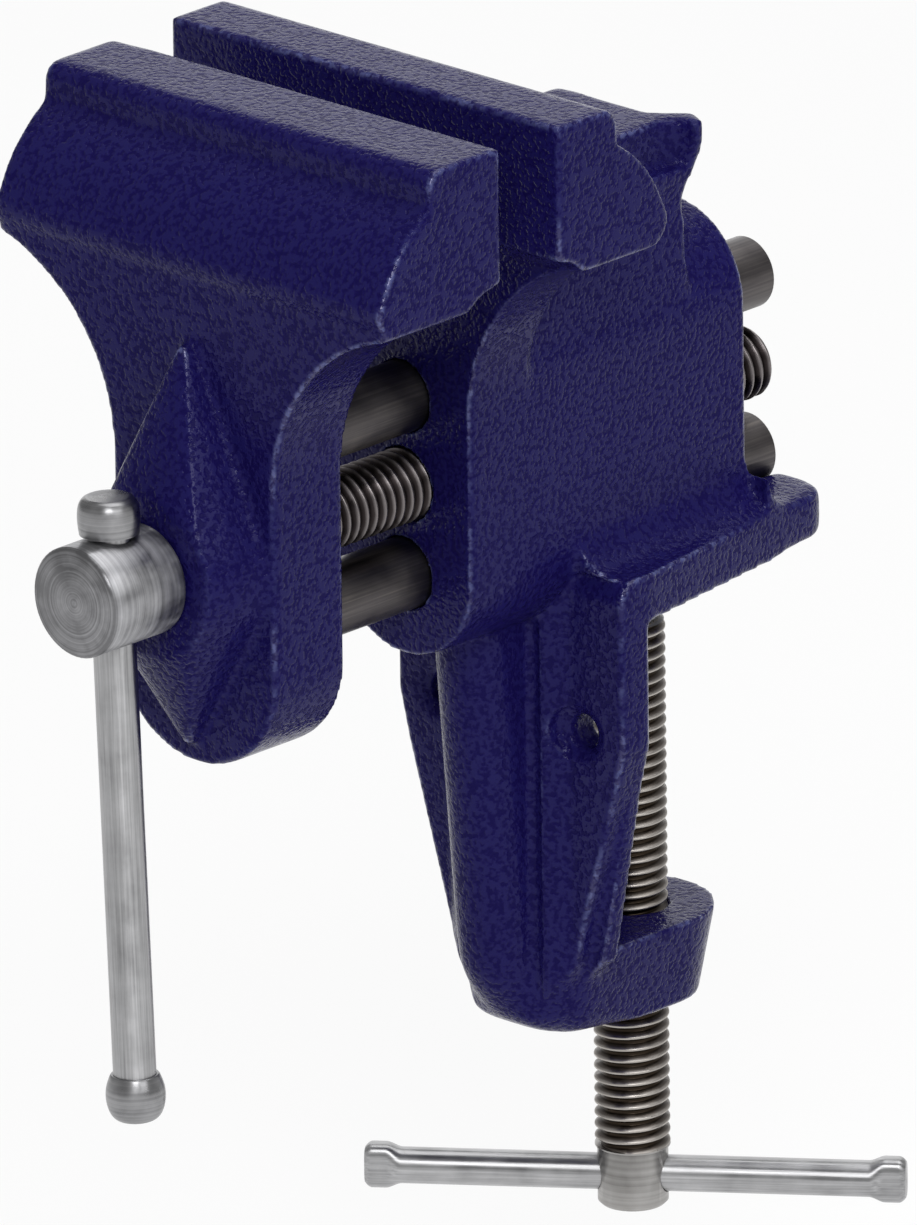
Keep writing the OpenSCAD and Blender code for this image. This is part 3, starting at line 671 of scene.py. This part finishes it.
def turned_look(name, face=None):
    """Turned steel: fine rings about the axis, a little haze, and painted shade darkening an end face up to a
    local height.
    """
    dark, light, ring_scale, roughness, grain = TURNED_STEELS[name]
    look = Look(name, 1.0, roughness)
    height = look.nodes.new("ShaderNodeSeparateXYZ")
    look.join(look.stretched((0, 0, 1)), height.inputs["Vector"])
    ring_line = look.nodes.new("ShaderNodeCombineXYZ")
    look.join(look.radius(), ring_line.inputs["X"])
    look.join(height.outputs["Z"], ring_line.inputs["Y"])
    ring = look.noise(ring_scale, detail=4.0, vector=ring_line.outputs["Vector"])
    haze = look.noise(TURNED_HAZE_SCALE, detail=5.0)
    tone = look.blend(ring, 0.5, haze)
    if face is not None:
        # painted shade on the end face, which the side of the head doesn't get
        face_painted_shade = look.remap(height.outputs["Z"], face, face + FACE_FADE, FACE_PAINTED_SHADE, 0.0)
        tone = look.math("SUBTRACT", tone, face_painted_shade)
    look.colour(look.ramp(tone, [(NOISE_LOW, dark), (NOISE_HIGH, light)]))
    look.rough(haze, roughness - HAZE_SMOOTHER, roughness + HAZE_ROUGHER)
    look.bump(ring, TURNED_DEPTH)
    look.grain(grain)
    return look.material


def drawn_look():
    """Drawn bar: streaks along the local Z axis, partly drawing marks and partly painted reflection stripes, and a
    little haze.
    """
    look = Look("drawn_bar_painted_reflections", 1.0, 0.3)
    streak = look.noise(1.0, detail=5.0, vector=look.stretched(BAR_STREAKS_AND_REFLECTIONS))
    haze = look.noise(BAR_HAZE_SCALE, detail=5.0)
    # streak tones: partly drawing marks, partly painted reflection stripes
    look.colour(look.ramp(look.blend(streak, 0.5, haze), BAR_TONES))
    look.rough(haze, *BAR_ROUGH)
    look.bump(streak, BAR_DEPTH)
    look.grain(BAR_GRAIN)
    return look.material


def wear(obj, material):
    """Gives the piece its material."""
    obj.data.materials.clear()
    obj.data.materials.append(material)


def dress_node(node, material):
    """Gives a carried-over CAD node its material."""
    obj = NODES[node]
    obj.data.materials.clear()
    obj.data.materials.append(material)


# The two castings
ROD_NODES = ("guide_rod_upper", "guide_rod_lower")
SCREW_AXIS = Vector(JOINTS["main_screw_turn"]["pos_m"])
SCREW_R = half_width("clamp_screw")
PAINT = paint_look()
hook_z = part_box("fixed_body")[0].z
screw_bore = Bore(SCREW_AXIS, ALONG, SCREW_R + RUN_FIT)
clamp_bore = Bore((0, 0, hook_z), UP, SCREW_R + RUN_FIT, HOOK_REACH)
rod_bores = [rod_bore(node) for node in ROD_NODES]
body = casting("fixed_body", rod_bores + [screw_bore, clamp_bore])
jaw = casting("front_jaw", rod_bores + [screw_bore])
for obj, carrier in ((body, "frame"), (jaw, "jaw")):
    wear(obj, PAINT)
    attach(obj, carrier)

# Guide rods
ROD = rod_look()
for node in ROD_NODES:
    dress_node(node, ROD)

# Main screw: turned head from the CAD solid, thread behind it
screw_low, screw_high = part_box("main_screw")
head_back_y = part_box("front_jaw")[0].y + HEAD_INSET
head = cad_copy("main_screw", "main_screw_head")
keep_part(head, (0, head_back_y, 0), ALONG)
head.data.transform(Matrix.Rotation(math.radians(90), 4, "X") @ Matrix.Translation((0, 0, -SCREW_AXIS.z)))
place(head, (0, 0, SCREW_AXIS.z), ALONG)
wear(head, turned_look("turned_head", screw_low.y + FACE_EDGE))
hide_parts("main_screw")
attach(head, "spindle")
main_thread = thread("main_screw_thread", SCREW_R, MAIN_PITCH, screw_high.y - head_back_y, MAIN_CHAMFER)
place(main_thread, (0, head_back_y, SCREW_AXIS.z), ALONG)
wear(main_thread, thread_look("main_thread", MAIN_PITCH))
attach(main_thread, "spindle")

# Hidden rings behind the jaw and the pad under the table
INNER = turned_look("machined_steel")
for node in ("thrust_washer", "retaining_collar", "collar_pin", "swivel_pad"):
    dress_node(node, INNER)

# Handle: bar and two turned knobs
BAR = drawn_look()
KNOB = turned_look("turned_knob")
handle_axis = Vector(JOINTS["handle_slide"]["axis"])


def handle_size(node):
    """Radius and length along the handle of one of its pieces, from the box it leans in."""
    low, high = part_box(node)
    radius = (high.y - low.y) / 2
    return radius, (high.z - low.z - 2 * radius * abs(handle_axis.x)) / handle_axis.z


bar_r, bar_length = handle_size("handle_bar")
half_bar = bar_length / 2
handle_bar = lathe("handle_bar_drawn", [(bar_r - BAR_EDGE, -half_bar), (bar_r, BAR_EDGE - half_bar),
                                        (bar_r, half_bar - BAR_EDGE), (bar_r - BAR_EDGE, half_bar)],
                   BAR_SHARP_DEG)
place(handle_bar, middle("handle_bar"), handle_axis)
wear(handle_bar, BAR)
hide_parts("handle_bar")
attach(handle_bar, "handle")
for node, (way, form) in KNOB_FORMS.items():
    radius, height = handle_size(node)
    profile = smooth_profile([(r * radius, z * height) for r, z in form], KNOB_SPAN_STEPS)
    knob = lathe(node + "_turned", profile, KNOB_SHARP_DEG)
    place(knob, middle(node) - handle_axis * (way * height / 2), handle_axis * way)
    wear(knob, KNOB)
    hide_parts(node)
    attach(knob, "handle")

# Clamp screw: plain head and ball end from the CAD solid, thread between them
head_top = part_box("clamp_screw")[0].z + CLAMP_HEAD_H
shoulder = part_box("swivel_pad")[0].z - SHOULDER_GAP
clamp_head = cad_copy("clamp_screw", "clamp_screw_head")
keep_part(clamp_head, (0, 0, head_top), UP)
wear(clamp_head, turned_look("clamp_head"))
clamp_tip = cad_copy("clamp_screw", "clamp_screw_tip")
keep_part(clamp_tip, (0, 0, shoulder - TIP_LAP), -UP)
wear(clamp_tip, INNER)
clamp_thread = thread("clamp_screw_thread", SCREW_R, CLAMP_PITCH, shoulder - head_top, CLAMP_CHAMFER)
place(clamp_thread, (0, 0, head_top), UP)
wear(clamp_thread, thread_look("clamp_thread", CLAMP_PITCH))
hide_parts("clamp_screw")
for obj in (clamp_head, clamp_tip, clamp_thread):
    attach(obj, "clamp_spindle")

# Clamp bar with its ends squeezed flat
tee_axis = Vector(JOINTS["tee_slide"]["axis"])
tee_low, tee_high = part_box("clamp_bar")
tee_wide = (tee_high.z - tee_low.z) / 2
tee_half = ((tee_high.x - tee_low.x) / 2 - TEE_FLAT * abs(tee_axis.y)) / tee_axis.x


def tee_loop(along):
    """Section of the clamp bar at a place along it: round, then wide and flat near the ends."""
    into = min(max((abs(along) - (tee_half - TEE_END)) / TEE_END, 0.0), 1.0)
    squeeze = min(into / TEE_FLAT_FROM, 1.0)
    squeeze = squeeze * squeeze * (3 - 2 * squeeze)
    edge = 1.0 - TEE_EDGE_CUT * max(0.0, (into - TEE_EDGE_FROM) / (1.0 - TEE_EDGE_FROM)) ** 2
    wide = (TEE_R + (tee_wide - TEE_R) * squeeze) * edge
    flat = (TEE_R + (TEE_FLAT - TEE_R) * squeeze) * edge
    power = 1.0 - TEE_SQUARENESS * squeeze
    return [(math.copysign(abs(c) ** power, c) * flat, math.copysign(abs(s) ** power, s) * wide, z)
            for c, s, z in circle(1.0, along)]


tee_places = [-tee_half + TEE_END * k / TEE_END_ROWS for k in range(TEE_END_ROWS + 1)]
tee_places += [-z for z in reversed(tee_places)]
clamp_bar = rings("clamp_bar_drawn", [tee_loop(z) for z in tee_places], TEE_SHARP_DEG)
tee_axes = Matrix((UP.cross(tee_axis), UP, -tee_axis)).transposed().to_4x4()
clamp_bar.matrix_world = Matrix.Translation(middle("clamp_bar")) @ tee_axes
wear(clamp_bar, BAR)
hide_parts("clamp_bar")
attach(clamp_bar, "clamp_tee")

# Floor, below the clamp screw's lowest place, as the vise hangs on a table
floor_z = CAD_BOX[0][2] + JOINTS["pad_slide"]["range_m"][0] - FLOOR_CLEAR
floor_corners = [(x * FLOOR_HALF, y * FLOOR_HALF, floor_z) for x, y in ((-1, -1), (1, -1), (1, 1), (-1, 1))]
floor = build("floor", floor_corners, [(0, 1, 2, 3)])
floor_look = Look("pale_floor", 0.0, 0.9)
floor_look.colour(floor_look.ramp(floor_look.noise(FLOOR_PATCH_SCALE), FLOOR_TONES))
floor_look.glow(FLOOR_GLOW)
floor.data.materials.append(floor_look.material)


# Light and camera


def softbox(name, spot, size, watts):
    """A square area lamp at a spot, facing the vise."""
    data = bpy.data.lights.new(name, "AREA")
    data.size = size
    data.energy = watts
    lamp = bpy.data.objects.new(name, data)
    bpy.context.scene.collection.objects.link(lamp)
    lamp.location = spot
    lamp.rotation_euler = (Vector(AIM) - Vector(spot)).to_track_quat("-Z", "Y").to_euler()


def studio_world():
    """An even, pale surround."""
    world = bpy.data.worlds.new("studio")
    bpy.context.scene.world = world
    world.use_nodes = True
    sky = world.node_tree.nodes["Background"]
    sky.inputs["Color"].default_value = (1.0, 1.0, 1.0, 1.0)
    sky.inputs["Strength"].default_value = SKY_LIGHT


def photo_camera():
    """Camera at the photo's viewing angle, far off with a long lens."""
    back = Vector((math.sin(VIEW_AZIMUTH) * math.cos(VIEW_ELEVATION),
                   -math.cos(VIEW_AZIMUTH) * math.cos(VIEW_ELEVATION), math.sin(VIEW_ELEVATION)))
    right = Vector((math.cos(VIEW_AZIMUTH), math.sin(VIEW_AZIMUTH), 0.0))
    right = Matrix.Rotation(VIEW_ROLL, 3, back) @ right
    data = bpy.data.cameras.new("photo_camera")
    data.sensor_fit = "VERTICAL"
    data.sensor_height = SENSOR_MM
    data.lens = PHOTO_PX_PER_MM * VIEW_DISTANCE / MM * SENSOR_MM / PHOTO_HEIGHT_PX
    data.clip_end = VIEW_CLIP
    camera = bpy.data.objects.new("photo_camera", data)
    bpy.context.scene.collection.objects.link(camera)
    camera_axes = Matrix((right, back.cross(right), back)).transposed().to_4x4()
    camera.matrix_world = Matrix.Translation(VIEW_TARGET + back * VIEW_DISTANCE) @ camera_axes
    bpy.context.scene.camera = camera


for name, (spot, size, watts) in LAMPS.items():
    softbox(name, spot, size, watts)
studio_world()
photo_camera()
bpy.context.scene.view_settings.view_transform = "Standard"
